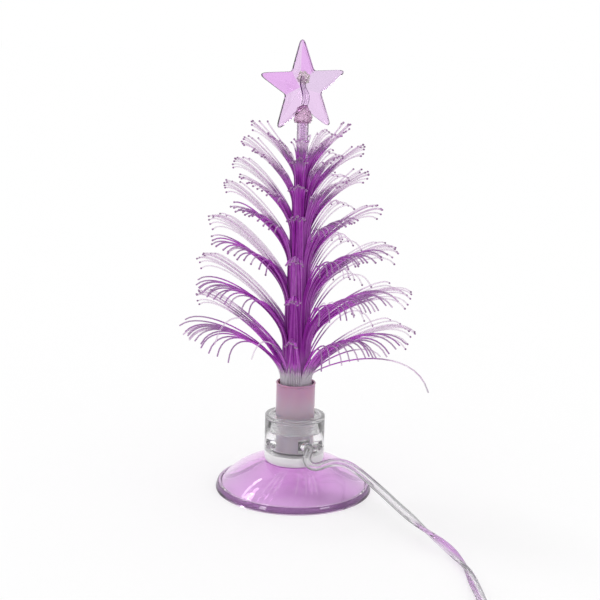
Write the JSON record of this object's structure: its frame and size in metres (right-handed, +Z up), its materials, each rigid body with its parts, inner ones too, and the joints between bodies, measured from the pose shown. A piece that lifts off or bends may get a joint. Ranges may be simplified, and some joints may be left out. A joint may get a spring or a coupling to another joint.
{
  "type": "fibre optic tree lamp",
  "caption": "Small table tree of curved optical fibres with a star on its tip, standing in a clear holder on a suction cup, lit from below by a lamp on a long thin lead.",
  "frame": {"origin": "middle of the tree's box on the table, on the axis of the cup and trunk", "axes": "+Z up along the trunk, -Y towards the viewer of the picture, +X to the viewer's right; the lead leaves the holder 28.6 degrees right of the front"},
  "size_m": [0.1063, 0.2064, 0.17],
  "materials": {
    "cup_vinyl": "clear purple, glossy",
    "clear_acrylic": "water clear, polished",
    "white_plastic": "moulded, matt",
    "grey_clip": "moulded, matt",
    "board_laminate": "green lacquer",
    "chip_ceramic": "black, matt",
    "lamp_resin": "clear, cast",
    "tinned_wire": "tinned",
    "shrink_tube": "black, satin",
    "lead_vinyl": "clear with a faint grey edge",
    "sleeve_plastic": "translucent, rose at the top and grey-white below",
    "ferrule_metal": "turned",
    "fibre_clear": "clear fibre ends, packed",
    "fibre_purple": "purple near the trunk, paler towards the tips",
    "stem_tint": "clear purple",
    "star_tint": "clear purple with darker edges",
    "glue": "clear, lumpy",
    "tie_strap": "matt strap",
    "plug_vinyl": "pale grey, matt",
    "shell_steel": "nickel plated",
    "contact_gold": "gold flashed"
  },
  "bodies": {
    "holder": {"holder_barrel": "clear_acrylic", "top_ring": "clear_acrylic", "lamp_holder": "white_plastic", "cord_clip": "grey_clip", "circuit_board": "board_laminate", "chip_resistor": "chip_ceramic", "lamp": "lamp_resin", "lamp_legs": "tinned_wire", "shrink_sleeves": "shrink_tube", "wire_tails": "lead_vinyl", "lead_run": "lead_vinyl", "lead_coil": "lead_vinyl", "coil_tie": "tie_strap", "lead_tail": "lead_vinyl", "plug_strain_relief": "plug_vinyl", "plug_grip": "plug_vinyl", "plug_shell": "shell_steel", "plug_tongue": "white_plastic", "plug_contacts": "contact_gold"},
    "cup": {"suction_cup": "cup_vinyl"},
    "tree": {"sleeve": "sleeve_plastic", "bundle_ferrule": "ferrule_metal", "fibre_bundle": "fibre_clear", "fibre_tier_1": "fibre_purple", "fibre_tier_2": "fibre_purple", "fibre_tier_3": "fibre_purple", "fibre_tier_4": "fibre_purple", "fibre_tier_5": "fibre_purple", "fibre_tier_6": "fibre_purple", "fibre_tier_7": "fibre_purple", "stem_tube": "stem_tint", "stem_core": "fibre_purple", "star_socket": "glue", "star_stalk": "stem_tint", "star_glue": "glue", "star": "star_tint"}
  },
  "joints": [
    {"name": "cup_swivel", "type": "hinge", "parent": "holder", "child": "cup", "pos_m": [0, 0, 0.0121], "axis": [0, 0, 1], "continuous": true},
    {"name": "tree_lift", "type": "slide", "parent": "holder", "child": "tree", "axis": [0, 0, 1], "range_m": [0, 0.013]}
  ]
}
